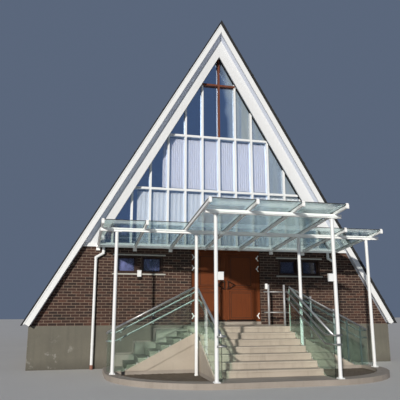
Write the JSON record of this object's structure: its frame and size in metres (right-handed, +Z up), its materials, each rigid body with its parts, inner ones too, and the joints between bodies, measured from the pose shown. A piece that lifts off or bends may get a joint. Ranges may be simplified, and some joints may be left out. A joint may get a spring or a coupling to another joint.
{
  "type": "modern church building",
  "caption": "Steep A-frame church with a glazed gable, brick front, raised entrance, glass canopy on posts, railed steps and hinged entrance doors.",
  "frame": {"origin": "on the ground, in the middle of the whole building with its entrance stair", "axes": "+Y runs from the entrance into the building, +X to the right seen from the entrance, +Z up"},
  "size_m": [10.6552, 19.777, 10.4396],
  "materials": {
    "render": "rough weathered concrete",
    "brick": "matt brown brick with pale joints",
    "white_paint": "satin white paint",
    "shingle": "dark mineral shingles on timber",
    "door_paint": "red-brown painted boards",
    "dark_wood": "dark brown stain",
    "concrete": "smooth beige concrete",
    "window_glass": "clear with a grey-blue tint",
    "canopy_glass": "clear with a green tint",
    "stainless": "brushed",
    "cloth": "matt pleated cloth"
  },
  "bodies": {
    "building": {"back_fascia": "white_paint", "back_gable_frame": "white_paint", "back_gable_glass": "window_glass", "back_glazing_bars": "white_paint", "back_sill_beam": "white_paint", "back_wall": "brick", "balustrade_glass_left": "canopy_glass", "balustrade_glass_right": "canopy_glass", "canopy_frame": "white_paint", "canopy_glass_left": "canopy_glass", "canopy_glass_middle": "canopy_glass", "canopy_glass_right": "canopy_glass", "cap_rail_left": "stainless", "cap_rail_right": "stainless", "cross": "dark_wood", "curtain_lower": "cloth", "curtain_upper": "cloth", "door_frame": "door_paint", "door_threshold": "concrete", "downpipe_left": "white_paint", "downpipe_right": "white_paint", "floor_slab": "concrete", "front_fascia": "white_paint", "front_gable_frame": "white_paint", "front_gable_glass": "window_glass", "front_glazing_bars": "white_paint", "front_sill_beam": "white_paint", "front_steps": "concrete", "front_wall_left": "brick", "front_wall_right": "brick", "handrails_left": "stainless", "handrails_right": "stainless", "kerb": "concrete", "landing_rail": "stainless", "planter_left": "concrete", "planter_right": "concrete", "plinth": "render", "post_front_left": "white_paint", "post_front_right": "white_paint", "post_inner_left": "white_paint", "post_inner_right": "white_paint", "post_outer_left": "white_paint", "post_outer_right": "white_paint", "ridge_cap": "shingle", "roof_left": "shingle", "roof_right": "shingle", "side_flight_left": "concrete", "side_flight_right": "concrete", "wall_lamp": "white_paint", "window_frames_left": "white_paint", "window_frames_right": "white_paint", "window_pane_left_1": "window_glass", "window_pane_left_2": "window_glass", "window_pane_right_1": "window_glass", "window_pane_right_2": "window_glass"},
    "left_leaf": {"door_left": "door_paint"},
    "right_leaf": {"door_right": "door_paint"}
  },
  "joints": [
    {"name": "left_door_hinge", "type": "hinge", "parent": "building", "child": "left_leaf", "pos_m": [-0.7877, -5.2615, 2.155], "axis": [0, 0, -1], "range_deg": [0, 90]},
    {"name": "right_door_hinge", "type": "hinge", "parent": "building", "child": "right_leaf", "pos_m": [1.0277, -5.2615, 2.155], "axis": [0, 0, 1], "range_deg": [0, 90]}
  ]
}
